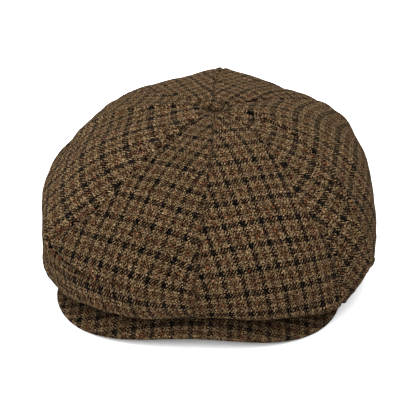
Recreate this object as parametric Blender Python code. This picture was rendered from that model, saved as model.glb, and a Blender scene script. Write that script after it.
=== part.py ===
"""Newsboy cap: eight tweed crown panels, lining, headband, sweatband, covered button, and a stiffened visor with a hidden press stud.

+Z is up, -Y is the front (visor) and the origin is the centre of the head opening on the table plane.
Dimensions are in millimetres and are scaled to metres when a body is built.
"""

import math

import bpy

MM = 0.001

# Head opening: inner half-width and half-length of the sweatband.
HEAD_A, HEAD_B = 82.0, 99.0
SWEAT_T, SWEAT_H = 1.2, 33.0
BAND_IN, BAND_OUT, BAND_H = 1.5, 3.0, 30.0
BAND_RISE, BAND_RISE_END = 18.5, 75.0
GAP = 0.3
SEAM_GAP = 0.36
FOOT_GAP = 0.7

# Button axis, and the crown surface at every 45 degrees round it from the front towards +X.
BUTTON_X, BUTTON_Y = 7.8, 1.0
CROWN_TOP = 112.0
CROWN_R = (143.0, 147.0, 119.5, 135.5, 139.5, 126.0, 122.0, 151.5)
CROWN_ZE = (25.5, 24.0, 43.0, 46.0, 50.0, 46.0, 41.5, 25.0)
CROWN_N = (1.80, 2.35, 2.62, 2.00, 2.18, 2.08, 2.48, 2.50)
CROWN_TUCK = 0.87
CROWN_HOLE = 4.0
CROWN_T = 1.6
UNDER_FRONT, UNDER_REAR = 4.5, 1.5
FRONT_END, REAR_START = 60.0, 82.0
# How far each seam leans round the button half-way down, in degrees.
SEAM_LEAN = (-2.0, -9.0, -36.0, -16.0, -6.0, 0.0, 5.0, 3.0)

# Lining dome inside the crown.
LINING_DROP, LINING_T, LINING_N = 4.5, 0.7, 1.75
LINING_HOLE = 1.2

# Visor outline and height field.
VISOR_A, VISOR_B, VISOR_Y, VISOR_N = 102.6, 68.5, -78.8, 2.32
VISOR_TIP_X, VISOR_TIP_Y = 80.0, -51.0
VISOR_ROOT_DEG = 56.0
VISOR_FRONT_Z, VISOR_RAMP, VISOR_RUN = 14.4, 12.2, 52.0
VISOR_ARCH, VISOR_ARCH_X, VISOR_HEEL = 20.5, 75.0, 0.12
COVER_T, BOARD_T, UNDER_T = 1.1, 1.2, 0.9
LIP, BOARD_INSET = 1.1, 3.0

# Press stud between the visor and the folded crown front.
STUD_Y = -125.0
STUD_FLANGE_R, STUD_FLANGE_T, STUD_POST_R, STUD_POST_H = 5.0, 0.7, 1.6, 1.6
SOCKET_R, SOCKET_T, SOCKET_BORE_R, SOCKET_DEPTH, SOCKET_LIFT = 5.0, 2.9, 2.4, 1.9, 1.3

# Covered button.
BUTTON_R, BUTTON_RISE, BUTTON_COVER_T, BUTTON_SHELL_T = 8.0, 4.0, 0.9, 0.5

MATERIALS = {
    "tweed": ((0.11, 0.07, 0.04), 0.0, 0.95),
    "satin": ((0.05, 0.035, 0.028), 0.0, 0.45),
    "sweatband": ((0.035, 0.03, 0.028), 0.0, 0.7),
    "canvas": ((0.45, 0.42, 0.36), 0.0, 0.9),
    "board": ((0.75, 0.76, 0.74), 0.0, 0.5),
    "brass": ((0.55, 0.4, 0.18), 1.0, 0.35),
    "steel": ((0.6, 0.6, 0.6), 1.0, 0.35),
}


def material_for(name, kind):
    colour, metal, rough = MATERIALS[kind]
    made = bpy.data.materials.new(name + "_" + kind)
    made.use_nodes = True
    shader = made.node_tree.nodes["Principled BSDF"]
    shader.inputs["Base Color"].default_value = (*colour, 1.0)
    shader.inputs["Metallic"].default_value = metal
    shader.inputs["Roughness"].default_value = rough
    made.diffuse_color = (*colour, 1.0)
    return made


def smooth_step(x, a, b):
    t = min(max((x - a) / (b - a), 0.0), 1.0)
    return t * t * (3 - 2 * t)


def round_table(angle, table):
    """Smooth periodic curve through the eight values of a table."""
    k = (angle % (2 * math.pi)) / (math.pi / 4)
    i = int(math.floor(k)) % 8
    t = k - math.floor(k)
    a, b, c, d = (table[(i + j) % 8] for j in (-1, 0, 1, 2))
    m1, m2 = (c - a) / 2, (d - b) / 2
    return (
        (2 * t**3 - 3 * t**2 + 1) * b
        + (t**3 - 2 * t**2 + t) * m1
        + (-2 * t**3 + 3 * t**2) * c
        + (t**3 - t**2) * m2
    )


def from_front(angle):
    return abs(math.degrees((angle + math.pi) % (2 * math.pi) - math.pi))


def band_low(angle):
    """Height of the headband's lower edge: flat on the table behind, lifted over the visor in front."""
    return BAND_RISE * (1 - smooth_step(from_front(angle), 0, BAND_RISE_END))


def visor_height(x, y):
    """Top of the visor: it falls forwards and arches down to both sides."""
    u = (y - VISOR_Y + VISOR_B + 3) / VISOR_RUN
    ramp = (u + 1 - math.sqrt((u - 1) ** 2 + 0.3)) / 2
    v = y + 98
    heel = (v + math.sqrt(v * v + 400)) / 2
    arch = VISOR_ARCH * (1 - math.exp(-((x / VISOR_ARCH_X) ** 2)))
    return VISOR_FRONT_Z + VISOR_RAMP * ramp - arch - VISOR_HEEL * heel


def ellipse_reach(angle, grow):
    """Distance from the button axis to the head ellipse grown by a margin."""
    a, b = HEAD_A + grow, HEAD_B + grow
    dx, dy = math.sin(angle), -math.cos(angle)
    qa = dx * dx / a**2 + dy * dy / b**2
    qb = 2 * (BUTTON_Y * dy / b**2 + BUTTON_X * dx / a**2)
    qc = BUTTON_Y**2 / b**2 + BUTTON_X**2 / a**2 - 1
    return (-qb + math.sqrt(qb * qb - 4 * qa * qc)) / (2 * qa)


def crown_point(angle, t, inside):
    """Crown surface: t 0..1 runs from the button to the widest line and 1..2 tucks under to the headband."""
    reach = round_table(angle, CROWN_R) - inside
    ze = round_table(angle, CROWN_ZE)
    n = round_table(angle, CROWN_N)
    top = CROWN_TOP - inside
    dx, dy = math.sin(angle), -math.cos(angle)
    foot = ellipse_reach(angle, BAND_OUT + FOOT_GAP)
    blend = 1 - smooth_step(from_front(angle), FRONT_END, REAR_START)

    def under(r):
        x, y = BUTTON_X + r * dx, BUTTON_Y + r * dy
        front = max(visor_height(x, y), 2.0) + UNDER_FRONT
        return blend * front + (1 - blend) * UNDER_REAR + inside

    if t <= 1:
        low = math.asin(CROWN_HOLE / reach)
        a = low + (math.pi / 2 - low) * t
        r = reach * math.sin(a)
        z = ze + (top - ze) * max(1 - math.sin(a) ** n, 0.0) ** (1 / n)
    else:
        s = (t - 1) * math.pi / 2
        r = foot + (reach - foot) * max(math.cos(s), 0.0) ** CROWN_TUCK
        z = under(r) + (ze - under(reach)) * (1 - math.sin(s))
    return (BUTTON_X + r * dx, BUTTON_Y + r * dy, z), r


def seam_angle(k, t):
    """Direction of seam k at t: straight at the button and the headband, leaning between them."""
    lean = SEAM_LEAN[k % 8] * smooth_step(t, 0.1, 0.7) * (1 - smooth_step(t, 0.9, 2.0))
    return math.radians(45.0 * k + lean)


def lining_point(angle, t, inside):
    """Lining dome: t 0..1 runs from the centre hole down to the top of the headband."""
    foot = ellipse_reach(angle, 2.4) - inside
    x, y = BUTTON_X + foot * math.sin(angle), BUTTON_Y - foot * math.cos(angle)
    low = band_low(math.atan2(x, -y)) + SWEAT_H + GAP + 0.3
    top = CROWN_TOP - LINING_DROP - inside
    start = math.asin(LINING_HOLE / foot)
    a = start + (math.radians(88.5) - start) * t
    r = foot * math.sin(a)
    z = low + (top - low) * max(1 - math.sin(a) ** LINING_N, 0.0) ** (1 / LINING_N)
    return (BUTTON_X + r * math.sin(angle), BUTTON_Y - r * math.cos(angle), z), r


def finish(name, verts, faces, kind, origin=(0, 0, 0), sharp=35.0):
    mesh = bpy.data.meshes.new(name)
    ox, oy, oz = origin
    mesh.from_pydata(
        [((x - ox) * MM, (y - oy) * MM, (z - oz) * MM) for x, y, z in verts], [], faces
    )
    mesh.validate()
    made = bpy.data.objects.new(name, mesh)
    bpy.context.scene.collection.objects.link(made)
    made.location = [c * MM for c in origin]
    mesh.materials.append(material_for(name, kind))
    volume = 0.0
    for face in mesh.polygons:
        c = [mesh.vertices[i].co for i in face.vertices]
        for i in range(1, len(c) - 1):
            volume += c[0].dot(c[i].cross(c[i + 1]))
    if volume < 0:
        mesh.flip_normals()
    for face in mesh.polygons:
        face.use_smooth = True
    mesh.set_sharp_from_angle(angle=math.radians(sharp))
    return made


def shell(name, outer, inner, kind, wrap=False, origin=(0, 0, 0)):
    """Closed sheet between two grids of points, ringed round if wrap."""
    rows, cols = len(outer), len(outer[0])
    verts = [p for row in outer for p in row] + [p for row in inner for p in row]
    half = rows * cols

    def at(side, i, j):
        return side * half + i * cols + j % cols

    faces = []
    for i in range(rows - 1):
        for j in range(cols if wrap else cols - 1):
            faces.append((at(0, i, j), at(0, i, j + 1), at(0, i + 1, j + 1), at(0, i + 1, j)))
            faces.append((at(1, i + 1, j), at(1, i + 1, j + 1), at(1, i, j + 1), at(1, i, j)))
    for j in range(cols if wrap else cols - 1):
        faces.append((at(1, 0, j), at(1, 0, j + 1), at(0, 0, j + 1), at(0, 0, j)))
        faces.append((at(0, rows - 1, j), at(0, rows - 1, j + 1), at(1, rows - 1, j + 1), at(1, rows - 1, j)))
    if not wrap:
        for i in range(rows - 1):
            faces.append((at(0, i, 0), at(0, i + 1, 0), at(1, i + 1, 0), at(1, i, 0)))
            faces.append((at(1, i, cols - 1), at(1, i + 1, cols - 1), at(0, i + 1, cols - 1), at(0, i, cols - 1)))
    return finish(name, verts, faces, kind, origin)


def lathe(name, profile, kind, place, steps=32, tilt=0.0):
    """Body turned about a local Z axis from a closed outline of (radius, height) points."""
    verts, faces, ring = [], [], []
    for r, z in profile:
        if r < 1e-9:
            ring.append([len(verts)] * steps)
            verts.append((0.0, 0.0, z))
        else:
            ring.append(list(range(len(verts), len(verts) + steps)))
            verts += [
                (r * math.cos(2 * math.pi * s / steps), r * math.sin(2 * math.pi * s / steps), z)
                for s in range(steps)
            ]
    for i in range(len(profile)):
        a, b = ring[i], ring[(i + 1) % len(profile)]
        for s in range(steps):
            e = (s + 1) % steps
            corner = []
            for v in (a[s], a[e], b[e], b[s]):
                if v not in corner:
                    corner.append(v)
            if len(corner) > 2:
                faces.append(tuple(corner))
    made = finish(name, verts, faces, kind)
    made.location = [c * MM for c in place]
    made.rotation_euler = (tilt, 0.0, 0.0)
    return made


def clear_scene():
    for item in list(bpy.data.objects):
        bpy.data.objects.remove(item, do_unlink=True)


def crown_panels():
    names = (
        "crown_panel_front_right", "crown_panel_side_front_right",
        "crown_panel_side_rear_right", "crown_panel_rear_right",
        "crown_panel_rear_left", "crown_panel_side_rear_left",
        "crown_panel_side_front_left", "crown_panel_front_left",
    )
    stops = [i / 9 for i in range(10)]
    stops = [1 - (1 - s) ** 1.25 for s in stops] + [1.12, 1.28, 1.46, 1.64, 1.83, 2.0]
    across = 6
    for k, name in enumerate(names):
        grids = []
        for inside in (0.0, CROWN_T):
            grid = []
            for t in stops:
                a0, a1 = seam_angle(k, t), seam_angle(k + 1, t)
                if k == 7:
                    a1 = 2 * math.pi + seam_angle(0, t)
                row = []
                for u in range(across + 1):
                    angle = a0 + (a1 - a0) * u / across
                    r = crown_point(angle, t, CROWN_T)[1]
                    edge = math.asin(SEAM_GAP / 2 / r) * (1 - 2 * u / across)
                    row.append(crown_point(angle + edge, t, inside)[0])
                grid.append(row)
            grids.append(grid)
        shell(name, grids[0], grids[1], "tweed")


def lining_panels():
    names = (
        "lining_panel_front_right", "lining_panel_side_front_right",
        "lining_panel_side_rear_right", "lining_panel_rear_right",
        "lining_panel_rear_left", "lining_panel_side_rear_left",
        "lining_panel_side_front_left", "lining_panel_front_left",
    )
    across, down = 4, 8
    for k, name in enumerate(names):
        grids = []
        for inside in (0.0, LINING_T):
            grid = []
            for i in range(down + 1):
                t = i / down
                row = []
                for u in range(across + 1):
                    angle = math.radians(45.0 * (k + u / across))
                    r = lining_point(angle, t, LINING_T)[1]
                    edge = math.asin(GAP / 2 / r) * (1 - 2 * u / across)
                    row.append(lining_point(angle + edge, t, inside)[0])
                grid.append(row)
            grids.append(grid)
        shell(name, grids[0], grids[1], "satin")


def band(name, inside, outside, low, height, kind, steps=64):
    """Upright ring on the head ellipse."""
    grids = []
    for grow in (outside, inside):
        grid = []
        for z in (0.0, height):
            row = []
            for s in range(steps):
                angle = 2 * math.pi * (s + 0.5) / steps
                row.append((
                    (HEAD_A + grow) * math.sin(angle),
                    -(HEAD_B + grow) * math.cos(angle),
                    band_low(angle) + low + z,
                ))
            grid.append(row)
        grids.append(grid)
    shell(name, grids[0], grids[1], kind, wrap=True)


def visor_root(s):
    angle = math.radians(VISOR_ROOT_DEG) * s
    grow = BAND_OUT + 0.6
    return (HEAD_A + grow) * math.sin(angle), -(HEAD_B + grow) * math.cos(angle)


def visor_edge(s):
    """Outer outline: a full front curve, then a tight turn back to the headband at each end."""
    side = math.copysign(1.0, s)
    s = abs(s)
    if s <= 0.72:
        a = s / 0.72 * math.pi / 2
        e = 2 / VISOR_N
        return side * VISOR_A * math.sin(a) ** e, VISOR_Y - VISOR_B * max(math.cos(a), 0.0) ** e
    b = (s - 0.72) / 0.28 * math.pi / 2
    return (
        side * (VISOR_TIP_X + (VISOR_A - VISOR_TIP_X) * math.cos(b)),
        VISOR_Y + (VISOR_TIP_Y - VISOR_Y) * math.sin(b),
    )


def visor_sheet(start, stop_inset, depth, columns, rows):
    """Grid on the visor from start mm off the root to stop_inset mm inside the edge."""
    grid = []
    for i in range(rows + 1):
        line = []
        for s in columns:
            x0, y0 = visor_root(s)
            x1, y1 = visor_edge(s)
            length = math.hypot(x1 - x0, y1 - y0)
            w0, w1 = start / length, 1 - stop_inset / length
            w = w0 + (w1 - w0) * i / rows
            x, y = x0 + (x1 - x0) * w, y0 + (y1 - y0) * w
            line.append((x, y, visor_height(x, y) - depth))
        grid.append(line)
    return grid


def visor():
    columns = [-1 + 2 * i / 26 for i in range(27)]
    whole = COVER_T + GAP + BOARD_T + GAP + UNDER_T
    top = visor_sheet(0.0, 0.0, 0.0, columns, 5)
    top.append([(x, y, z - whole) for x, y, z in top[-1]])
    below = visor_sheet(0.0, LIP, COVER_T, columns, 5)
    below.append([(x, y, z - (whole - COVER_T)) for x, y, z in below[-1]])
    shell("visor_top_cover", top, below, "tweed")
    depth = COVER_T + GAP
    shell(
        "visor_board",
        visor_sheet(2.0, BOARD_INSET, depth, columns[1:-1], 5),
        visor_sheet(2.0, BOARD_INSET, depth + BOARD_T, columns[1:-1], 5),
        "board",
    )
    depth += BOARD_T + GAP
    shell(
        "visor_under_cover",
        visor_sheet(0.0, LIP + GAP, depth, columns, 5),
        visor_sheet(0.0, LIP + GAP, depth + UNDER_T, columns, 5),
        "tweed",
    )


def snap():
    height = visor_height(0, STUD_Y)
    slope = (visor_height(0, STUD_Y + 1) - visor_height(0, STUD_Y - 1)) / 2
    tilt = math.atan(slope)
    place = (0.0, STUD_Y, height)
    base = GAP
    lathe("snap_stud", (
        (0, base), (STUD_FLANGE_R, base), (STUD_FLANGE_R, base + STUD_FLANGE_T * 0.6),
        (STUD_FLANGE_R - 0.5, base + STUD_FLANGE_T), (STUD_POST_R, base + STUD_FLANGE_T),
        (STUD_POST_R, base + STUD_FLANGE_T + STUD_POST_H - 0.3),
        (STUD_POST_R - 0.4, base + STUD_FLANGE_T + STUD_POST_H),
        (0, base + STUD_FLANGE_T + STUD_POST_H),
    ), "steel", place, 20, tilt)
    lathe("snap_socket", (
        (0, SOCKET_LIFT + SOCKET_DEPTH), (SOCKET_BORE_R, SOCKET_LIFT + SOCKET_DEPTH),
        (SOCKET_BORE_R, SOCKET_LIFT), (SOCKET_R - 0.6, SOCKET_LIFT),
        (SOCKET_R, SOCKET_LIFT + 0.6), (SOCKET_R, SOCKET_LIFT + SOCKET_T - 0.2),
        (SOCKET_R - 0.2, SOCKET_LIFT + SOCKET_T), (0, SOCKET_LIFT + SOCKET_T),
    ), "steel", place, 20, tilt)


def dome(radius, rise, base, steps, start=0.0):
    """Outline points of a low dome from the rim up to its centre."""
    points = []
    for i in range(steps + 1):
        a = start + (math.pi / 2 - start) * i / steps
        points.append((radius * math.cos(a), base + rise * math.sin(a)))
    return points


def button():
    place = (BUTTON_X, BUTTON_Y, CROWN_TOP)
    base = 0.4
    outer = dome(BUTTON_R, BUTTON_RISE - base, base + 0.9, 6)
    outer[-1] = (0.0, outer[-1][1])
    t = BUTTON_COVER_T
    inner = dome(BUTTON_R - t, BUTTON_RISE - base - t, base + 0.9, 6)
    inner[-1] = (0.0, inner[-1][1])
    lathe("button_cover", (
        [(5.2, base), (BUTTON_R - 0.5, base)] + outer + inner[::-1] + [(BUTTON_R - t, base + t), (5.2, base + t)]
    ), "tweed", place, 24)
    t2 = t + GAP
    floor = base + t + GAP
    outer = dome(BUTTON_R - t2, BUTTON_RISE - base - t2 - GAP, floor, 5)
    outer[-1] = (0.0, outer[-1][1])
    t3 = t2 + BUTTON_SHELL_T
    inner = dome(BUTTON_R - t3, BUTTON_RISE - base - t3 - GAP, floor, 5)
    inner[-1] = (0.0, inner[-1][1])
    lathe("button_shell", outer + inner[::-1], "steel", place, 24)
    lathe("button_back_plate", (
        (0.0, floor + 0.6), (5.3, floor + 0.6), (5.3, floor), (1.2, floor),
        (1.2, -4.1), (0.0, -4.1),
    ), "steel", place, 20)
    lathe("button_washer", (
        (1.5, -2.4), (5.6, -2.4), (6.0, -2.7), (6.0, -3.1), (1.5, -3.1),
    ), "steel", place, 24)


clear_scene()
crown_panels()
lining_panels()
band("headband_interlining", BAND_IN, BAND_OUT, 0.0, BAND_H, "canvas")
band("sweatband", 0.0, SWEAT_T, 0.6, SWEAT_H - 0.6, "sweatband")
visor()
snap()
button()
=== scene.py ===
import math

import bpy
import numpy as np
from mathutils import Matrix, Vector, noise


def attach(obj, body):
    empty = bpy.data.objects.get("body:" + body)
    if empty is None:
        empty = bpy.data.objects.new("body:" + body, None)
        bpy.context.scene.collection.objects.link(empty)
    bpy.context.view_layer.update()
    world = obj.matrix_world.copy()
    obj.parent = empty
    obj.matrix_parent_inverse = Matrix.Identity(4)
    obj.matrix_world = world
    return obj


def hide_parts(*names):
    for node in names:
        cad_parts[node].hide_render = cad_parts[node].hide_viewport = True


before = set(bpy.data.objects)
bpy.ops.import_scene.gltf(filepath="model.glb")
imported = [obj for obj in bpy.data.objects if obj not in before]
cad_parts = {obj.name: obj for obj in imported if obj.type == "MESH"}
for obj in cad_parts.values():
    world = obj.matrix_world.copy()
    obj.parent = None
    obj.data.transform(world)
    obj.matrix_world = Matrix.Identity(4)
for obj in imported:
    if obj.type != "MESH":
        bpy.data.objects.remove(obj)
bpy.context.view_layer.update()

MM = 0.001

# ------------------------------------------------------------------ shape
HEAD_A, HEAD_B = 82.0, 99.0
BAND_OUT = 3.0
BAND_RISE, BAND_RISE_END = 18.5, 75.0
BX, BY, TOP = 7.8, 1.0, 112.0
CROWN_R = (143.0, 147.0, 119.5, 135.5, 139.5, 126.0, 122.0, 151.5)
CROWN_ZE = (25.5, 24.0, 43.0, 46.0, 50.0, 46.0, 41.5, 25.0)
CROWN_N = (1.80, 2.35, 2.62, 2.00, 2.18, 2.08, 2.48, 2.50)
VISOR_A, VISOR_B, VISOR_Y, VISOR_N = 102.6, 68.5, -78.8, 2.32
TIP_X, TIP_Y, ROOT_DEG = 80.0, -51.0, 56.0
FRONT_Z, RAMP, RUN, ARCH, ARCH_X, HEEL = 14.4, 12.2, 52.0, 20.5, 75.0, 0.12
VISOR_T = 3.8


def sm(x, a, b):
    t = np.clip((x - a) / (b - a), 0, 1)
    return t * t * (3 - 2 * t)


def table8(th, v):
    v = np.asarray(v, float)
    k = (th % (2 * np.pi)) / (np.pi / 4)
    i = np.floor(k).astype(int) % 8
    t = k - np.floor(k)
    a, b, c, d = v[(i - 1) % 8], v[i], v[(i + 1) % 8], v[(i + 2) % 8]
    m1, m2 = (c - a) / 2, (d - b) / 2
    return (2*t**3 - 3*t**2 + 1)*b + (t**3 - 2*t**2 + t)*m1 + (-2*t**3 + 3*t**2)*c + (t**3 - t**2)*m2


def from_front(th):
    return np.abs(np.degrees((th + np.pi) % (2 * np.pi) - np.pi))


def band_low(th):
    return BAND_RISE * (1 - sm(from_front(th), 0, BAND_RISE_END))


def visor_z(x, y):
    u = (y - VISOR_Y + VISOR_B + 3) / RUN
    ramp = (u + 1 - np.sqrt((u - 1) ** 2 + 0.3)) / 2
    v = y + 98
    heel = (v + np.sqrt(v * v + 400)) / 2
    return FRONT_Z + RAMP * ramp - ARCH * (1 - np.exp(-((x / ARCH_X) ** 2))) - HEEL * heel


def reach(th, grow):
    a, b = HEAD_A + grow, HEAD_B + grow
    dx, dy = np.sin(th), -np.cos(th)
    qa = dx*dx/a**2 + dy*dy/b**2
    qb = 2*(BY*dy/b**2 + BX*dx/a**2)
    qc = BY*BY/b**2 + BX*BX/a**2 - 1
    return (-qb + np.sqrt(qb*qb - 4*qa*qc)) / (2*qa)


HOLE = 2.0


def crown(th, t):
    """Outer face of the crown. t 0..1 button to widest line, 1..2 tucked under, 2..3 turned round the headband's lower edge."""
    th, t = np.broadcast_arrays(np.asarray(th, float), np.asarray(t, float))
    R, ze, n = table8(th, CROWN_R), table8(th, CROWN_ZE), table8(th, CROWN_N)
    dx, dy = np.sin(th), -np.cos(th)
    foot = reach(th, BAND_OUT + 0.6)
    blend = 1 - sm(from_front(th), 60, 82)

    def under(r):
        x, y = BX + r*dx, BY + r*dy
        lift = 4.3 - 2.3 * sm(r, R - 16, R - 4)
        front = np.maximum(visor_z(x, y), 2.0) + lift
        return blend * front + (1 - blend) * 1.2

    low = np.arcsin(HOLE / R)
    a = low + (np.pi/2 - low) * np.clip(t, 0, 1)
    ru = R * np.sin(a)
    zu = ze + (TOP - ze) * np.maximum(1 - np.sin(a)**n, 0)**(1/n)
    s = np.clip(t - 1, 0, 1) * np.pi/2
    rl = foot + (R - foot) * np.maximum(np.cos(s), 0)**0.87
    zl = under(rl) + (ze - under(R)) * (1 - np.sin(s))
    w = np.clip(t - 2, 0, 1)
    r = np.where(t <= 1, ru, rl)
    z = np.where(t <= 1, zu, zl)
    # the turned edge below the headband
    fx, fy = BX + foot*dx, BY + foot*dy
    ha = np.arctan2(fx, -fy)
    lowest = band_low(ha) - 0.3
    z_foot = under(foot)
    wr = foot + np.interp(w, [0, .25, .45, .6, .72, 1], [0, 0.0, -0.5, -1.9, -2.6, -2.7])
    drop = np.interp(w, [0, .25, .45, .6, .72, 1], [0, .55, 1.0, 1.08, 0.85, -0.6])
    wz = z_foot + (lowest - z_foot) * np.clip(drop, 0, 1.2) + np.where(drop < 0, -drop * 8, 0)
    r = np.where(t <= 2, r, wr)
    z = np.where(t <= 2, z, np.maximum(wz, 0.05))
    return np.stack([BX + r*dx, BY + r*dy, z], -1)


# How far each seam strays from its place round the button, in degrees. The crown has slumped forward on the right.
SEAM_T = (0, .08, .15, .25, .35, .45, .55, .65, .8, .9, 1.0, 1.25, 1.6, 2, 3)
SEAM_LEAN = (
    (3, 2.5, 1.5, 1.0, -1.0, -1.5, -1.5, -3, -3, -3, -3, -2, -1, 0, 0),
    (0, 0, -1.5, -4.5, -7.5, -9.5, -10.5, -9, -7.5, -7.5, -7, -5, -2, 0, 0),
    (-8, -17, -22, -24, -30, -35, -38, -39, -39, -39, -36, -26, -10, 0, 0),
    (-6, -9, -9, -9, -11, -13, -15, -16, -17, -17, -16, -12, -5, 0, 0),
    (0, 0, 0, -1, -2, -3, -4, -5, -6, -6, -6, -4, -2, 0, 0),
    (2, 3, 4, 4, 3, 2, 1, 0, 0, 0, 0, 0, 0, 0, 0),
    (-5, -6, -5, -6, -7, -2, 2, 5, 6, 5, 4, 2, 0, 0, 0),
    (9, 14, 13, 12, 11, 10, 9, 7, -1, -4, -4, -3, -1, 0, 0),
)


def seam(k, t):
    lean = sum(np.interp(t + o, SEAM_T, SEAM_LEAN[k % 8]) for o in (-.08, -.04, 0, .04, .08)) / 5
    return np.radians(45.0 * k + lean)


def edges_of(k, t):
    return seam(k, t), (seam(k + 1, t) if k < 7 else seam(0, t) + 2 * np.pi)


def normals(f, th, t):
    e = 1e-3
    a = f(th + e, t) - f(th - e, t)
    b = f(th, t + e) - f(th, t - e)
    n = np.cross(b, a)
    return n / np.maximum(np.linalg.norm(n, axis=-1, keepdims=True), 1e-9)


def fbm(P, scale, seed, octaves=2):
    out = np.empty(P.shape[:-1])
    flat = P.reshape(-1, 3)
    res = np.empty(len(flat))
    for i, p in enumerate(flat):
        v = Vector((p[0]/scale + seed*7.3, p[1]/scale - seed*3.1, p[2]/scale + seed*1.7))
        res[i] = noise.noise(v) + (0.45 * noise.noise(v * 2.1) if octaves > 1 else 0)
    return res.reshape(out.shape)


def line_distance(P, pts):
    """Distance from each point to a polyline, which side it is on, and how far along."""
    best = np.full(P.shape[:-1], 1e9); side = np.zeros_like(best); along = np.zeros_like(best)
    seg = np.linalg.norm(np.diff(pts, axis=0), axis=1); total = seg.sum(); done = 0.0
    for a, b, l in zip(pts[:-1], pts[1:], seg):
        d = (b - a) / l
        q = P - a
        s = np.clip(q @ d, 0, l)
        v = q - s[..., None] * d
        dist = np.linalg.norm(v, axis=-1)
        sign = np.sign(np.cross(np.broadcast_to(d, v.shape), v)[..., 2])
        hit = dist < best
        best = np.where(hit, dist, best); side = np.where(hit, sign, side)
        along = np.where(hit, (done + s) / total, along)
        done += l
    return best, side, along


# Soft folds and dents of the slumped crown: points as (degrees from the front, t), width and height in mm.
FOLDS = (
    # roll and hollow on the right, where the crown has slid forward
    (((58, .42), (52, .58), (50, .78), (43, .86)), 4.0, 1.6),
    (((66, .50), (62, .66), (60, .85)), 6.5, -2.4),
    # sunken rear right panel between two humps
    (((126, .04), (124, .2), (126, .4), (130, .62)), 9.0, -4.5),
    (((147, .42), (148, .60), (148, .78)), 5.0, -3.0),
    (((136, .52), (136, .66), (134, .80)), 7.0, 1.2),
    (((121, .60), (119, .70)), 8.0, -1.0),
    (((102, .72), (98, .84)), 9.0, -0.8),
    (((160, .40), (178, .46), (196, .42)), 13.0, 2.2),
    (((150, .62), (172, .66), (196, .62)), 10.0, -1.6),
    # left side
    (((-60, .10), (-72, .25), (-78, .42)), 7.0, -1.6),
    (((-97, .08), (-96, .25), (-93, .45), (-88, .62)), 4.0, 1.2),
    (((-68, .86), (-74, .86), (-82, .84)), 8.0, 1.6),
    (((-54, .96), (-62, .96), (-70, .96)), 8.5, -4.0),
    (((-112, .52), (-114, .66), (-112, .80)), 9.0, -3.4),
    (((-142, .48), (-141, .60), (-140, .72)), 11.0, 2.4),
    # right side
    (((84, .82), (74, .92), (66, 1.0)), 11.0, -3.2),
    (((98, .75), (112, .86), (128, .9)), 10.0, -1.2),
    (((70, .84), (66, .90), (64, .96)), 8.0, -1.9),
    # drawn-in rim at the front corners, and the drooping left side
    (((44, 1.12), (50, 1.11), (57, 1.07)), 6.0, -2.4),
    (((31, 1.15), (36, 1.17), (40, 1.17)), 6.0, 2.0),
    (((-122, .72), (-107, .68), (-100, .76), (-84, .80)), 10.0, -2.2),
    (((-70, 1.0), (-66, 1.05), (-60, 1.06)), 8.0, -1.9),
    (((-50, 1.12), (-44, 1.14)), 6.0, -2.0),
)
# Tucks, where the cloth above laps over the cloth below: points, then height and width above the line and below it, and the depth of the crease, in mm.
TUCKS = (
    (((-60, .82), (-56, .83), (-48, .855), (-40, .875), (-32, .89), (-23, .90)), 3.0, 8.0, 2.4, 5.0, 4.6),
    (((30, .90), (36, .92), (42, .945), (47, .965)), 1.2, 6.0, 0.8, 3.0, 0.0),
)
# How much the seam allowance lifts each panel beside its first seam, in mm.
SEAM_ROLL = (0.2, 0.5, 1.0, 0.5, 0.3, 0.3, 0.9, 0.7)
PUFF = (1.0, 0.2, 0.6, -2.8, -2.6, -1.0, -1.0, 1.0)


def displaced(k, u, t):
    """Panel k with its puff, seam groove, folds and unevenness."""
    a0, a1 = edges_of(k, t)
    th = a0 + (a1 - a0) * u
    P = crown(th, t)
    width = np.linalg.norm(crown(a1, t) - crown(a0, t), axis=-1)
    edge = np.minimum(u, 1 - u) * width
    N = normals(crown, th, t)
    amp = sm(t, 0.03, 0.25) * (1 - sm(t, 1.55, 1.95))
    d = PUFF[k] * (1 - (2*u - 1)**2) * sm(t, 0.05, 0.45) * (1 - sm(t, 1.0, 1.5))
    deep = 1.15 - .65 * sm(t, .82, 1.0) + .5 * (1 - sm(t, .12, .3))
    sewn = sm(t, 0.03, 0.12) * (1 - sm(t, 1.55, 1.95))
    d = d + sewn * (-deep * np.exp(-(edge/.9)**2) + 0.5 * np.exp(-((edge - 3.0)/1.8)**2) + SEAM_ROLL[k] * np.where(u < .5, np.exp(-((edge - 2.6)/1.6)**2), 0))
    d = d + amp * (1.5 * fbm(P, 52, 1) + 0.55 * fbm(P, 19, 2) + 0.14 * fbm(P, 7, 3, 1))
    for pts, width_mm, height in FOLDS:
        th0 = np.radians([p[0] for p in pts]); t0 = np.array([p[1] for p in pts])
        m = np.linspace(0, 1, 14); q = np.linspace(0, 1, len(pts))
        line = crown(np.interp(m, q, th0), np.interp(m, q, t0))
        dist, side, along = line_distance(P, line)
        fade = np.sin(np.pi * np.clip(along, 0.04, 0.96)) ** 0.5
        d = d + height * fade * np.exp(-(dist/width_mm)**2)
    for pts, up, up_w, down, down_w, crease in TUCKS:
        th0 = np.radians([p[0] for p in pts]); t0 = np.array([p[1] for p in pts])
        m = np.linspace(0, 1, 14); q = np.linspace(0, 1, len(pts))
        line = crown(np.interp(m, q, th0), np.interp(m, q, t0))
        dist, side, along = line_distance(P, line)
        fade = np.sin(np.pi * np.clip(along, 0.0, 1.0)) ** 0.8
        x = side * dist
        d = d + fade * np.tanh(x/1.2) * np.where(x > 0, up * np.exp(-(x/up_w)**2), down * np.exp(-(x/down_w)**2))
        d = d - fade * crease * np.exp(-((x + 2.0)/2.0)**2)
    r = np.hypot(P[..., 0] - BX, P[..., 1] - BY)
    d = d - 1.4 * np.exp(-(r/13)**2)
    return P + N * d[..., None], th


PATTERN_T = np.linspace(0, 3, 601)


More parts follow.
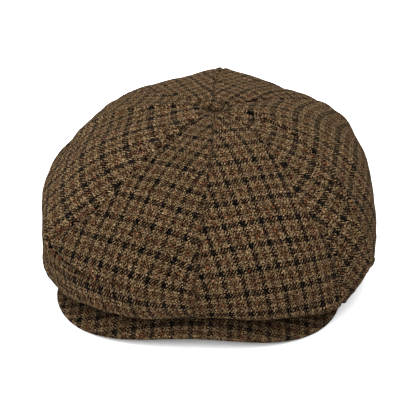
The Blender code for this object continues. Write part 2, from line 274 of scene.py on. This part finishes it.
def pattern(k):
    """Panel k laid flat: its width, its length down the middle, and how sharply its parallels bend, against t."""
    a0, a1 = edges_of(k, PATTERN_T)
    base = crown(a0[:, None] + (a1 - a0)[:, None] * np.linspace(0, 1, 33), PATTERN_T[:, None])
    W = np.linalg.norm(np.diff(base, axis=1), axis=-1).sum(1)
    L = 2.0 + np.concatenate([[0], np.cumsum(np.linalg.norm(np.diff(base[:, 16], axis=0), axis=-1))])
    even = np.arange(0, L[-1], .5)
    We = np.interp(even, L, W)
    We = np.convolve(np.pad(We, 12, mode="edge"), np.ones(25)/25, "valid")
    bend = np.clip(np.gradient(We, .5), -.35, .8) / np.maximum(We, 1.0)
    return W, L, np.interp(L, even, bend)


def flat(k, u, t):
    """Place on the flat panel in mm: across from its middle line, and down from the button."""
    W, L, bend = (np.interp(t, PATTERN_T, v) for v in pattern(k))
    across_ = (u - .5) * W
    turn = np.where(np.abs(bend) < 1e-6, 1e-6, bend)
    return np.sin(across_*turn)/turn, L - (1 - np.cos(across_*turn))/turn


def grid_mesh(name, P, uv, close_u=False):
    """Mesh from a grid of points in mm and cloth coordinates in metres."""
    rows, cols = P.shape[:2]
    mesh = bpy.data.meshes.new(name)
    idx = np.arange(rows*cols).reshape(rows, cols)
    right = np.roll(idx, -1, 1) if close_u else idx[:, 1:]
    left = idx if close_u else idx[:, :-1]
    quads = np.stack([left[:-1], right[:-1], right[1:], left[1:]], -1).reshape(-1, 4)
    mesh.from_pydata((P.reshape(-1, 3)*MM).tolist(), [], quads.tolist())
    layer = mesh.uv_layers.new(name="cloth")
    co = uv.reshape(-1, 2)
    loops = np.empty(len(mesh.loops), np.int32)
    mesh.loops.foreach_get("vertex_index", loops)
    data = co[loops]
    if close_u:  # keep the coordinates continuous over the join
        span = uv[:, :, 0].max() - uv[:, :, 0].min() + abs(uv[0, 1, 0] - uv[0, 0, 0])
        quad = data.reshape(-1, 4, 2)
        jump = quad[:, :, 0].max(1) - quad[:, :, 0].min(1) > span/2
        q = quad[jump]; q[:, :, 0] = np.where(q[:, :, 0] < q[:, :, 0].mean(1)[:, None], q[:, :, 0] + span, q[:, :, 0]); quad[jump] = q
        data = quad.reshape(-1, 2)
    layer.data.foreach_set("uv", data.ravel())
    for p in mesh.polygons:
        p.use_smooth = True
    obj = bpy.data.objects.new(name, mesh)
    bpy.context.scene.collection.objects.link(obj)
    return obj


def face_out(obj, towards):
    """Turns the faces so that they look towards a given side on the whole."""
    m = obj.data
    tot = sum((p.normal.dot(towards(p.center)) * p.area) for p in m.polygons)
    if tot < 0:
        m.flip_normals()


# ------------------------------------------------------------------ material helpers
class Graph:
    def __init__(self, name):
        self.mat = bpy.data.materials.new(name)
        self.mat.use_nodes = True
        self.nt = self.mat.node_tree
        self.bsdf = self.nt.nodes["Principled BSDF"]

    def node(self, kind, **props):
        n = self.nt.nodes.new(kind)
        for k, v in props.items():
            setattr(n, k, v)
        return n

    def put(self, socket, value):
        if isinstance(value, bpy.types.NodeSocket):
            self.nt.links.new(value, socket)
        else:
            socket.default_value = value

    def math(self, op, a, b=None, c=None, clamp=False):
        n = self.node("ShaderNodeMath", operation=op, use_clamp=clamp)
        for i, v in enumerate((a, b, c)):
            if v is not None:
                self.put(n.inputs[i], v)
        return n.outputs[0]

    def mix(self, f, a, b, kind="MIX"):
        n = self.node("ShaderNodeMix", data_type="RGBA", blend_type=kind)
        self.put(n.inputs[0], f); self.put(n.inputs[6], a); self.put(n.inputs[7], b)
        return n.outputs[2]

    def ramp(self, x, lo, hi, out_lo=0.0, out_hi=1.0, kind="LINEAR"):
        n = self.node("ShaderNodeMapRange", interpolation_type=kind)
        for i, v in enumerate((x, lo, hi, out_lo, out_hi)):
            self.put(n.inputs[i], v)
        return n.outputs[0]

    def noise(self, vec, scale, detail=2.0, rough=0.5, dims="3D", w=None):
        n = self.node("ShaderNodeTexNoise", noise_dimensions=dims)
        if vec is not None:
            self.put(n.inputs["Vector"], vec)
        if w is not None:
            self.put(n.inputs["W"], w)
        n.inputs["Scale"].default_value = scale
        n.inputs["Detail"].default_value = detail
        n.inputs["Roughness"].default_value = rough
        return n.outputs["Fac"]

    def white(self, x, y=None, z=0.0):
        n = self.node("ShaderNodeTexWhiteNoise", noise_dimensions="3D")
        c = self.node("ShaderNodeCombineXYZ")
        self.put(c.inputs[0], x); self.put(c.inputs[1], 0.0 if y is None else y); self.put(c.inputs[2], z)
        self.nt.links.new(c.outputs[0], n.inputs["Vector"])
        return n.outputs["Value"]

    def uv(self, name="cloth"):
        n = self.node("ShaderNodeUVMap", uv_map=name)
        s = self.node("ShaderNodeSeparateXYZ")
        self.nt.links.new(n.outputs[0], s.inputs[0])
        return n.outputs[0], s.outputs[0], s.outputs[1]

    def bump(self, height, distance, strength=1.0):
        n = self.node("ShaderNodeBump")
        n.inputs["Distance"].default_value = distance
        n.inputs["Strength"].default_value = strength
        self.put(n.inputs["Height"], height)
        self.nt.links.new(n.outputs[0], self.bsdf.inputs["Normal"])


def srgb(r, g, b):
    f = lambda c: ((c/255 + 0.055)/1.055)**2.4 if c/255 > 0.04045 else c/255/12.92
    return (f(r), f(g), f(b), 1.0)


WARP_REPEAT, WEFT_REPEAT = 12.0*MM, 15.6*MM
# Yarn order in both directions: 6 black, 6 tan, 6 rust brown, 6 tan.
WARP_ENDS, WEFT_PICKS = 24, 24


# a second value below 1 gives a darker copy of the same cloth, as painted shade
def tweed(name, painted_light_level=1.0):
    g = Graph(name)
    vec, X, Y = g.uv()

    def moved(x, y):
        n = g.node("ShaderNodeVectorMath", operation="ADD")
        g.nt.links.new(vec, n.inputs[0]); n.inputs[1].default_value = (x, y, 0)
        return n.outputs[0]

    j1 = g.math("MULTIPLY", g.math("SUBTRACT", g.noise(vec, 560, 2, 0.7), 0.5), JITTER)
    j2 = g.math("MULTIPLY", g.math("SUBTRACT", g.noise(moved(3.1, 7.7), 560, 2, 0.7), 0.5), JITTER)
    # the first black stripe straddles the start of each repeat
    a = g.math("ADD", g.math("ADD", g.math("DIVIDE", X, WARP_REPEAT/WARP_ENDS), 3.0), j1)
    b = g.math("ADD", g.math("ADD", g.math("DIVIDE", Y, WEFT_REPEAT/WEFT_PICKS), 3.0), j2)
    ia, ib = g.math("FLOOR", a), g.math("FLOOR", b)
    fa, fb = g.math("SUBTRACT", a, ia), g.math("SUBTRACT", b, ib)
    warp = g.math("LESS_THAN", g.math("FLOORED_MODULO", g.math("ADD", ia, ib), 4.0), 2.0)

    # yarn relief: rounded across, dipping where a float goes under; it drives the bump and the painted shade below
    def across(f):
        c = g.math("SUBTRACT", g.math("MULTIPLY", f, 2.0), 1.0)
        return g.math("SUBTRACT", 1.0, g.math("MULTIPLY", c, c))

    def arc(x):
        return g.math("MAXIMUM", g.math("SINE", g.math("MULTIPLY", x, math.pi/2)), 0.0)

    def choose(f, x, y):
        return g.math("ADD", g.math("MULTIPLY", f, x), g.math("MULTIPLY", g.math("SUBTRACT", 1.0, f), y))

    float_w = g.math("FLOORED_MODULO", g.math("ADD", b, ia), 4.0)
    float_f = g.math("SUBTRACT", g.math("FLOORED_MODULO", g.math("ADD", a, ib), 4.0), 2.0)
    hw = g.math("MULTIPLY", g.math("ADD", 0.45, g.math("MULTIPLY", across(fa), 0.55)), g.math("ADD", 0.15, g.math("MULTIPLY", arc(float_w), 0.85)))
    hf = g.math("MULTIPLY", g.math("ADD", 0.42, g.math("MULTIPLY", across(fb), 0.52)), g.math("ADD", 0.12, g.math("MULTIPLY", arc(float_f), 0.84)))
    height = choose(warp, hw, hf)
    end = choose(warp, g.math("FLOORED_MODULO", ia, float(WARP_ENDS)), g.math("FLOORED_MODULO", ib, float(WEFT_PICKS)))

    black = g.math("LESS_THAN", end, 5.5)
    rust = g.math("LESS_THAN", g.math("ABSOLUTE", g.math("SUBTRACT", end, 14.5)), 3.0)
    # heather: every length of yarn differs
    run = choose(warp, g.math("FLOOR", g.math("DIVIDE", b, 2.0)), g.math("FLOOR", g.math("DIVIDE", a, 2.0)))
    r1 = g.white(g.math("ADD", choose(warp, ia, ib), 3.7), run, g.math("MULTIPLY", warp, 5.0))
    r2 = g.white(run, choose(warp, ib, ia), g.math("ADD", choose(warp, ia, ib), 0.5))
    tan = g.mix(g.ramp(r1, 0.0, 0.5), srgb(78, 63, 45), srgb(134, 108, 77))
    tan = g.mix(g.ramp(r1, 0.5, 1.0), tan, srgb(172, 143, 108))
    ink = g.mix(g.ramp(r1, 0.2, 1.0), srgb(9, 9, 11), srgb(33, 31, 31))
    ink = g.mix(g.ramp(r2, 0.78, 0.98), ink, srgb(86, 68, 50))
    red = g.mix(g.ramp(r1, 0.1, 0.75), srgb(52, 38, 29), srgb(96, 70, 49))
    red = g.mix(g.ramp(r1, 0.78, 0.95), red, srgb(138, 74, 50))
    red = g.mix(g.ramp(r2, 0.7, 0.95), red, srgb(122, 98, 67))
    colour = g.mix(black, g.mix(rust, tan, red), ink)
    # painted shade: yarn edges, dips where a float goes under and the pits between yarns are darkened by the yarn
    # relief, with random clumps and specks mixed in; and slow unevenness in the cloth
    clump = g.noise(moved(9.3, 2.2), 420, 2, 0.6)
    speck = g.noise(moved(1.7, 5.9), 1000, 1, 0.5)
    relief = g.math("ADD", g.math("MULTIPLY", height, 0.85), g.math("MULTIPLY", g.math("SUBTRACT", clump, 0.5), 0.7))
    relief = g.math("ADD", relief, g.math("MULTIPLY", g.math("SUBTRACT", speck, 0.5), 2.6))
    # painted shade: the lower the relief, the darker the yarn colour
    pit_shade = g.ramp(relief, 0.26, 0.64, PIT_SHADE_LOW, PIT_SHADE_HIGH, "SMOOTHSTEP")
    uneven = g.ramp(g.noise(vec, 55, 3, 0.6), 0.3, 0.7, 0.88, 1.12)
    dot = g.ramp(g.white(ia, ib, 4.4), 0.0, 1.0, 0.55, 1.45)
    grain = g.ramp(g.noise(vec, 1700, 1, 0.5), 0.3, 0.7, 0.75, 1.25)
    # painted shade from the pits and the painted light level, times random tone from unevenness, grain and per-cell
    # dots
    shade = g.math("MULTIPLY", g.math("MULTIPLY", pit_shade, uneven), g.math("MULTIPLY", g.math("MULTIPLY", grain, dot), painted_light_level))
    grey = g.node("ShaderNodeCombineColor")
    for i in range(3):
        g.nt.links.new(shade, grey.inputs[i])
    colour = g.mix(1.0, colour, grey.outputs[0], "MULTIPLY")
    g.put(g.bsdf.inputs["Base Color"], colour)
    g.bsdf.inputs["Roughness"].default_value = 0.95
    g.bsdf.inputs["Specular IOR Level"].default_value = 0.0
    g.bsdf.inputs["Sheen Weight"].default_value = SHEEN
    g.bsdf.inputs["Sheen Roughness"].default_value = 0.3
    g.bsdf.inputs["Sheen Tint"].default_value = srgb(205, 185, 155)
    g.bump(g.math("ADD", height, relief), 0.0003, 0.7)
    return g.mat


# darkest and lightest factor of the painted shade in the pits
PIT_SHADE_LOW, PIT_SHADE_HIGH = 0.004, 0.33
JITTER = 0.7
SHEEN = 0.03


def satin(name):
    g = Graph(name)
    vec, X, Y = g.uv()
    fine = g.math("SINE", g.math("MULTIPLY", X, 2*math.pi/0.0004))
    slub = g.noise(vec, 180, 3, 0.6)
    base = g.mix(g.ramp(slub, 0.3, 0.7), srgb(44, 31, 24), srgb(66, 48, 38))
    g.put(g.bsdf.inputs["Base Color"], base)
    g.put(g.bsdf.inputs["Roughness"], g.ramp(slub, 0.3, 0.7, 0.34, 0.48))
    g.bsdf.inputs["Sheen Weight"].default_value = 0.25
    g.bsdf.inputs["Sheen Roughness"].default_value = 0.3
    g.bump(g.math("ADD", g.math("MULTIPLY", fine, 0.3), g.noise(vec, 260, 3, 0.6)), 0.00025, 0.5)
    return g.mat


def leather(name):
    g = Graph(name)
    vec, X, Y = g.uv()
    v = g.node("ShaderNodeTexVoronoi", feature="DISTANCE_TO_EDGE")
    g.nt.links.new(vec, v.inputs["Vector"]); v.inputs["Scale"].default_value = 900
    cell = g.ramp(v.outputs["Distance"], 0.0, 0.18)
    tone = g.noise(vec, 60, 3, 0.6)
    base = g.mix(g.ramp(tone, 0.3, 0.7), srgb(40, 27, 20), srgb(58, 41, 31))
    base = g.mix(g.math("MULTIPLY", g.math("SUBTRACT", 1.0, cell), 0.5), base, srgb(22, 15, 11))
    g.put(g.bsdf.inputs["Base Color"], base)
    g.put(g.bsdf.inputs["Roughness"], g.ramp(tone, 0.3, 0.7, 0.48, 0.62))
    g.bump(g.math("ADD", cell, g.math("MULTIPLY", g.noise(vec, 200, 2, 0.5), 0.6)), 0.00018, 0.6)
    return g.mat


def thread(name, col):
    g = Graph(name)
    o = g.node("ShaderNodeTexCoord").outputs["Object"]
    t = g.noise(o, 2500, 2, 0.6)
    g.put(g.bsdf.inputs["Base Color"], g.mix(g.ramp(t, 0.3, 0.7), tuple(c*0.7 for c in col[:3]) + (1,), col))
    g.bsdf.inputs["Roughness"].default_value = 0.8
    g.bump(t, 0.0001, 0.5)
    return g.mat


def canvas(name):
    g = Graph(name)
    o = g.node("ShaderNodeTexCoord").outputs["Object"]
    s = g.node("ShaderNodeSeparateXYZ"); g.nt.links.new(o, s.inputs[0])
    w = g.math("MULTIPLY", g.math("SINE", g.math("MULTIPLY", s.outputs[0], 6000.0)), g.math("SINE", g.math("MULTIPLY", s.outputs[2], 6000.0)))
    n = g.noise(o, 400, 3, 0.6)
    g.put(g.bsdf.inputs["Base Color"], g.mix(g.ramp(n, 0.3, 0.7), srgb(58, 50, 42), srgb(82, 72, 60)))
    g.bsdf.inputs["Roughness"].default_value = 0.9
    g.bump(g.math("ADD", w, n), 0.0002, 0.5)
    return g.mat


def plastic(name):
    g = Graph(name)
    o = g.node("ShaderNodeTexCoord").outputs["Object"]
    n = g.noise(o, 300, 3, 0.5)
    g.put(g.bsdf.inputs["Base Color"], g.mix(g.ramp(n, 0.3, 0.7), srgb(214, 214, 208), srgb(226, 226, 222)))
    g.put(g.bsdf.inputs["Roughness"], g.ramp(n, 0.3, 0.7, 0.42, 0.55))
    g.bump(n, 0.0001, 0.3)
    return g.mat


def steel(name):
    g = Graph(name)
    o = g.node("ShaderNodeTexCoord").outputs["Object"]
    n = g.noise(o, 900, 4, 0.6)
    big = g.noise(o, 90, 2, 0.5)
    g.put(g.bsdf.inputs["Base Color"], g.mix(g.ramp(big, 0.3, 0.7), srgb(150, 148, 142), srgb(176, 174, 168)))
    g.bsdf.inputs["Metallic"].default_value = 1.0
    g.put(g.bsdf.inputs["Roughness"], g.ramp(n, 0.3, 0.7, 0.28, 0.45))
    g.bump(n, 0.00005, 0.4)
    return g.mat


def paint(obj, mat):
    obj.data.materials.clear()
    obj.data.materials.append(mat)


M_TWEED = tweed("tweed_crown", 1.0)
M_BUTTON = tweed("tweed_button", 1.0)
# the visor's tweed is a darker copy of the crown's tweed: painted shade for the shade under the crown's overhang
M_VISOR_PAINTED_SHADE = tweed("tweed_visor", 0.86)
M_SATIN = satin("lining_satin")
M_LEATHER = leather("sweatband_leather")
M_STITCH = thread("sweatband_thread", srgb(74, 55, 42))
M_CANVAS = canvas("interlining_canvas")
M_BOARD = plastic("visor_board_plastic")
M_STEEL = steel("fastener_steel")

# ------------------------------------------------------------------ crown panels
NAMES = ("front_right", "side_front_right", "side_rear_right", "rear_right",
         "rear_left", "side_rear_left", "side_front_left", "front_left")
COARSE = 1
NU = 56
us = np.concatenate([[0, .006, .013, .022, .034], np.linspace(.05, .95, NU), [.966, .978, .987, .994, 1]])
ts = np.concatenate([np.linspace(0, .12, 10)[:-1], np.linspace(.12, .8, 84)[:-1], np.linspace(.8, 1.0, 46)[:-1], np.linspace(1.0, 1.2, 26)[:-1],
                     np.linspace(1.2, 2, 44)[:-1], np.linspace(2, 3, 21)])
# How the check lies on each flat panel, in repeats: start, then per 100 mm across and down, then how it is pulled off square
# (across squared, across times down, down squared).
LAY = (
    ((5.554, 8.557, -2.037, .618, -.435, .363), (-10.08, -1.403, 5.802, .036, .776, .171)),
    ((-.304, -6.705, 4.021, 0, -.054, 0), (-1.556, 1.234, 4.565, 0, .232, 0)),
    ((.30, -7.4, -.70, 0, 0, 0), (-3.72, -1.714, 5.91, 0, 0, 0)),
    ((.25, 8.2, .4, 0, 0, 0), (.10, .2, 6.3, 0, 0, 0)),
    ((.60, 8.2, .2, 0, 0, 0), (.45, .1, 6.3, 0, 0, 0)),
    ((.85, 8.0, -.4, 0, 0, 0), (.20, .1, 6.2, 0, 0, 0)),
    ((.034, 5.955, 1.001, 0, .441, 0), (-5.702, .134, 5.343, 0, -1.245, 0)),
    ((-6.521, 8.578, 4.311, -1.632, .275, -2.002), (-9.984, .216, 6.961, .529, -.06, -.492)),
)


def lay(k, x, y):
    """Cloth coordinates in metres on panel k, from its flat place in mm."""
    x, y = x/100, y/100
    terms = np.stack([np.ones_like(x), x, y, x*x, x*y, y*y])
    gx, gy = (np.tensordot(np.array(c), terms, 1) for c in LAY[k])
    return np.stack([gx*WARP_REPEAT, gy*WEFT_REPEAT], -1)


for k, nm in enumerate(NAMES):
    U, T = np.meshgrid(us, ts)
    P, TH = displaced(k, U, T)
    cu, cv = flat(k, U, T)
    uv = lay(k, cu, cv)
    o = grid_mesh("crown_" + nm, P, uv)
    face_out(o, lambda c: Vector((c.x - BX*MM, c.y - BY*MM, max(c.z - 0.03, 0))))
    paint(o, M_TWEED)
    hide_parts("crown_panel_" + nm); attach(o, "crown")

# ------------------------------------------------------------------ visor
def root(s):
    a = np.radians(ROOT_DEG) * s
    return np.stack([(HEAD_A + BAND_OUT + .6)*np.sin(a), -(HEAD_B + BAND_OUT + .6)*np.cos(a)], -1)


def edge(s):
    side, q = np.where(s < 0, -1.0, 1.0), np.abs(s)
    a = np.minimum(q/.72, 1)*np.pi/2
    e = 2/VISOR_N
    x1, y1 = VISOR_A*np.sin(a)**e, VISOR_Y - VISOR_B*np.maximum(np.cos(a), 0)**e
    b = np.clip((q - .72)/.28, 0, 1)*np.pi/2
    x2, y2 = TIP_X + (VISOR_A - TIP_X)*np.cos(b), VISOR_Y + (TIP_Y - VISOR_Y)*np.sin(b)
    return np.stack([side*np.where(q <= .72, x1, x2), np.where(q <= .72, y1, y2)], -1)


def visor_point(s, inset, depth):
    """inset in mm from the outer edge."""
    r, e = root(s), edge(s)
    l = np.linalg.norm(e - r, axis=-1)
    w = 1 - inset/l
    p = r + (e - r)*w[..., None]
    z = visor_z(p[..., 0], p[..., 1])
    return np.stack([p[..., 0], p[..., 1], z - depth], -1)


S = np.concatenate([np.linspace(-1, -.72, 34)[:-1], np.linspace(-.72, .72, 130)[:-1], np.linspace(.72, 1, 34)])
length = np.linalg.norm(edge(S) - root(S), axis=-1)
RIM = VISOR_T/2
# top cover: from the root over the rounded rim to the edge seam underneath
rows, cuv = [], []
nw = 34
for i in range(nw + 1):
    inset = RIM + (length - RIM)*(1 - i/nw)
    p = visor_point(S, inset, 0*S)
    wave = 0.25*fbm(p, 40, 5) * sm(i/nw, 0, .2)
    rows.append(p + np.array([0, 0, 1.0])*wave[:, None])
for i in range(1, 13):
    a = i/12*math.radians(165)
    p = visor_point(S, RIM - RIM*math.sin(a) + 0*S, RIM - RIM*math.cos(a) + 0*S)
    rows.append(p)
P = np.stack(rows)
step = np.concatenate([np.zeros((1, len(S))), np.cumsum(np.linalg.norm(np.diff(P, axis=0), axis=-1), 0)])
flat_v = np.where(np.arange(len(rows))[:, None] <= nw, P[..., 1], P[nw, :, 1][None] - (step - step[nw][None]))
uv = np.stack([(P[..., 0] + 2.5)/13.2*WARP_REPEAT, flat_v*1.03*MM], -1)
top = grid_mesh("visor_top", P, uv)
face_out(top, lambda c: Vector((0, -0.3, 1)))
paint(top, M_VISOR_PAINTED_SHADE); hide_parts("visor_top_cover"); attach(top, "visor")
# under cover, drawn slightly in at the edge seam
rows = []
for i in range(nw + 1):
    w = i/nw
    inset = 1.35 + (length - 1.35)*(1 - w)
    tuck = 0.45*np.exp(-((1 - w)*length/1.5)**2)
    rows.append(visor_point(S, inset, VISOR_T - tuck + 0.02))
P = np.stack(rows)
uv = np.stack([(P[..., 0] + 6.1)/13.2*WARP_REPEAT, P[..., 1]*1.03*MM], -1)
bottom = grid_mesh("visor_under", P, uv)
face_out(bottom, lambda c: Vector((0, 0, -1)))
paint(bottom, M_VISOR_PAINTED_SHADE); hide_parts("visor_under_cover"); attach(bottom, "visor")

# ------------------------------------------------------------------ headband and lining
def ring_angles(n):
    return 2*np.pi*(np.arange(n) + .5)/n


n = 260
A = ring_angles(n)
prof = [(3.2, 1.2), (2.6, .2), (3.0, -.35), (4.2, -.5), (7, -.35), (14, -.15), (22, -.05), (30, -.1), (32.5, -.05), (33.2, .35), (32.8, .9)]
rows, cv = [], []
run = 0.0
for i, (h, g) in enumerate(prof):
    wob = 0.35*np.sin(A*7 + 1.3)*sm(h, 6, 20)*(1 - sm(h, 28, 33)) + .25*np.sin(A*13)*sm(h, 6, 20)*(1 - sm(h, 28, 33))
    x, y = (HEAD_A + g + wob)*np.sin(A), -(HEAD_B + g + wob)*np.cos(A)
    rows.append(np.stack([x, y, band_low(A) + h], -1))
    if i:
        run += math.hypot(h - prof[i-1][0], g - prof[i-1][1])
    cv.append(run)
P = np.stack(rows)
arc = np.concatenate([[0], np.cumsum(np.linalg.norm(np.diff(P[4], axis=0), axis=-1))])
uv = np.stack([np.broadcast_to(arc, P.shape[:2])*MM, np.array(cv)[:, None]*MM + 0*P[..., 0]], -1)
sweat = grid_mesh("sweatband_leather", P, uv, close_u=True)
face_out(sweat, lambda c: Vector((-c.x, -c.y, 0)))
paint(sweat, M_LEATHER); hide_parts("sweatband"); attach(sweat, "crown")


def stitches(name, points, normal, long, wide, rise, mat, body):
    """One object of short raised stitches along a closed line of points."""
    verts, faces = [], []
    for i in range(len(points)):
        p, q = points[i], points[(i + 1) % len(points)]
        d = (q - p); l = np.linalg.norm(d); d = d/l
        up = normal[i]/np.linalg.norm(normal[i]); side = np.cross(d, up)
        c = (p + q)/2
        base = len(verts)
        for a, h in ((-.5, .1), (-.28, .85), (0, 1), (.28, .85), (.5, .1)):
            for b, hh in ((-1, .0), (-.6, .8), (0, 1), (.6, .8), (1, .0)):
                v = c + d*a*long + side*b*wide/2 + up*(rise*h*hh - .05)
                verts.append(tuple(v*MM))
        for i5 in range(4):
            for j5 in range(4):
                o5 = base + i5*5 + j5
                faces.append((o5, o5 + 1, o5 + 6, o5 + 5))
    m = bpy.data.meshes.new(name); m.from_pydata(verts, [], faces)
    for f in m.polygons:
        f.use_smooth = True
    o = bpy.data.objects.new(name, m); bpy.context.scene.collection.objects.link(o)
    paint(o, mat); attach(o, body)
    return o


m_ = 190
A2 = ring_angles(m_)
pts = np.stack([(HEAD_A - .5)*np.sin(A2), -(HEAD_B - .5)*np.cos(A2), band_low(A2) + 5.2], -1)
nrm = np.stack([-np.sin(A2), np.cos(A2), 0*A2], -1)
stitches("sweatband_stitches", pts, nrm, 2.0, .45, .35, M_STITCH, "crown")

LIN_N, LIN_DROP = 1.75, 4.5


def lining(th, t, inside=0.0):
    foot = reach(th, 2.0) - inside
    x, y = BX + foot*np.sin(th), BY - foot*np.cos(th)
    low = band_low(np.arctan2(x, -y)) + 33.0
    top_ = TOP - LIN_DROP - inside
    a = np.radians(.3) + (np.radians(89.2) - np.radians(.3))*t
    r = foot*np.sin(a)
    z = low + (top_ - low)*np.maximum(1 - np.sin(a)**LIN_N, 0)**(1/LIN_N)
    return np.stack([BX + r*np.sin(th), BY - r*np.cos(th), z], -1)


us_l = np.concatenate([[0, .012, .03], np.linspace(.06, .94, 26), [.97, .988, 1]])
ts_l = np.linspace(0, 1, 60)
for k, nm in enumerate(NAMES):
    U, T = np.meshgrid(us_l, ts_l)
    TH = np.radians(45.0*(k + U))
    base = lining(TH, T, .4)
    N = normals(lambda a, b: lining(a, b, .4), TH, T)
    width = np.linalg.norm(base[:, -1] - base[:, 0], axis=-1)[:, None]
    e = np.minimum(U, 1 - U)*width
    amp = sm(T, .05, .3)*(1 - sm(T, .93, 1))
    d = amp*(-.7*np.exp(-(e/1.0)**2) - 1.1*(1 - (2*U - 1)**2) - .9*np.abs(fbm(base, 26, 11 + k)) - .35*np.abs(fbm(base, 9, 31 + k)))
    pucker = -.4*np.sin(TH*60 + 3*np.sin(TH*9))*sm(T, .8, .97)*(1 - sm(T, .97, 1))
    P = base + N*(d + pucker)[..., None]
    L = 1 + np.concatenate([[0], np.cumsum(np.linalg.norm(np.diff(base[:, 16], axis=0), axis=-1))])
    Wd = np.linalg.norm(np.diff(base, axis=1), axis=-1).sum(1)
    ph = (U - .5)*(Wd/L)[:, None]
    uv = np.stack([L[:, None]*np.sin(ph)*MM, L[:, None]*np.cos(ph)*MM], -1)
    o = grid_mesh("lining_" + nm, P, uv)
    face_out(o, lambda c: Vector((-c.x, -c.y, -1)))
    paint(o, M_SATIN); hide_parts("lining_panel_" + nm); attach(o, "crown")

# ------------------------------------------------------------------ covered button
nb, nr = 64, 26
A = 2*np.pi*np.arange(nb)/nb
rows, uvr = [], []
prof = []
for i in range(nr + 1):
    a = i/nr*math.pi*.62
    prof.append((8.0*math.sin(a)**.8, 2.0 + (3.95*math.cos(a)**.8 if a <= math.pi/2 else -3.0*(-math.cos(a))**.8)))
# the cloth turns in under the button and meets the crown
prof += [(7.15, .2), (6.7, -.7), (6.3, -1.6)]
for i, (r, z) in enumerate(prof):
    x, y = r*np.cos(A)*1.0, r*np.sin(A)*.97
    Q = np.stack([BX + x, BY + y, TOP - 1.1 + z + 0*x], -1)
    lump = .35*fbm(Q, 6, 21)*(r/8)
    Q = Q + np.stack([np.cos(A)*lump, np.sin(A)*lump, .4*lump], -1)
    rows.append(Q)
    run = sum(math.hypot(prof[j][0] - prof[j-1][0], prof[j][1] - prof[j-1][1]) for j in range(1, i + 1))
    uvr.append(np.stack([run*np.cos(A + .35)*MM, run*np.sin(A + .35)*MM], -1))
P = np.stack(rows)
but = grid_mesh("button_tweed", P, np.stack(uvr), close_u=False)
# close the join by a last column equal to the first
bpy.data.objects.remove(but)
P = np.concatenate([P, P[:, :1]], 1); UVB = np.stack(uvr); UVB = np.concatenate([UVB, UVB[:, :1]], 1)
but = grid_mesh("button_tweed", P, UVB)
face_out(but, lambda c: Vector((c.x - BX*MM, c.y - BY*MM, .003)))
paint(but, M_BUTTON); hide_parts("button_cover"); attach(but, "crown")

# ------------------------------------------------------------------ the CAD pieces that stay
for node, mat in (("headband_interlining", M_CANVAS), ("visor_board", M_BOARD), ("snap_stud", M_STEEL), ("snap_socket", M_STEEL),
                  ("button_shell", M_STEEL), ("button_back_plate", M_STEEL), ("button_washer", M_STEEL)):
    paint(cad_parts[node], mat)

# ------------------------------------------------------------------ stage, light and camera
scene = bpy.context.scene
FLOOR = 0.60
SKY_LOW, SKY_HIGH, SKY_LEFT = 1.3, 5.0, -.30
floor_mesh = bpy.data.meshes.new("floor")
floor_mesh.from_pydata([(-3, -3, 0), (3, -3, 0), (3, 3, 0), (-3, 3, 0)], [], [(0, 1, 2, 3)])
floor = bpy.data.objects.new("floor", floor_mesh)
scene.collection.objects.link(floor)
fm = bpy.data.materials.new("floor"); fm.use_nodes = True
fm.node_tree.nodes["Principled BSDF"].inputs["Base Color"].default_value = (FLOOR, FLOOR, FLOOR, 1)
fm.node_tree.nodes["Principled BSDF"].inputs["Roughness"].default_value = 1.0
fm.node_tree.nodes["Principled BSDF"].inputs["Specular IOR Level"].default_value = 0.0
floor_mesh.materials.append(fm)

world = bpy.data.worlds.new("studio"); scene.world = world; world.use_nodes = True
wn = world.node_tree
sky = wn.nodes["Background"]
sky.inputs[0].default_value = (1, 1, 1, 1)
where = wn.nodes.new("ShaderNodeTexCoord"); part_ = wn.nodes.new("ShaderNodeSeparateXYZ")
wn.links.new(where.outputs["Generated"], part_.inputs[0])
rise = wn.nodes.new("ShaderNodeMapRange"); rise.interpolation_type = "SMOOTHSTEP"
wn.links.new(part_.outputs[2], rise.inputs[0])
for i_, v_ in enumerate((-0.05, 0.9, SKY_LOW, SKY_HIGH)):
    rise.inputs[i_ + 1].default_value = v_
lean_ = wn.nodes.new("ShaderNodeMath"); lean_.operation = "MULTIPLY_ADD"
wn.links.new(part_.outputs[0], lean_.inputs[0]); lean_.inputs[1].default_value = SKY_LEFT; lean_.inputs[2].default_value = 1.0
both_ = wn.nodes.new("ShaderNodeMath"); both_.operation = "MULTIPLY"
wn.links.new(rise.outputs[0], both_.inputs[0]); wn.links.new(lean_.outputs[0], both_.inputs[1])
wn.links.new(both_.outputs[0], sky.inputs[1])


def area(name, place, size, power, aim=(0, 0, .05)):
    lamp = bpy.data.lights.new(name, "AREA"); lamp.shape = "DISK"; lamp.size = size; lamp.energy = power
    o = bpy.data.objects.new(name, lamp); scene.collection.objects.link(o)
    o.location = place
    o.rotation_euler = (Vector(aim) - Vector(place)).to_track_quat("-Z", "Y").to_euler()
    return o


area("key", (-.75, -.75, 1.5), 2.0, 30)
area("front", (.2, -1.9, 1.1), 1.4, 12)

YAW, PHI, DIST = math.radians(2.2), math.radians(30), .870
cam = bpy.data.cameras.new("camera"); camera = bpy.data.objects.new("camera", cam); scene.collection.objects.link(camera)
back = Vector((math.sin(YAW)*math.cos(PHI), -math.cos(YAW)*math.cos(PHI), math.sin(PHI)))
camera.location = Vector((0, 0, .058)) + back*DIST
camera.rotation_euler = (-back).to_track_quat("-Z", "Y").to_euler()
cam.sensor_width = 36; cam.lens = 1138/416*36
cam.shift_x, cam.shift_y = (208 - 202.62)/416, -(208 - 169.93)/416
cam.clip_start, cam.clip_end = .05, 20
scene.camera = camera
scene.view_settings.view_transform = "Standard"
scene.view_settings.look = "None"
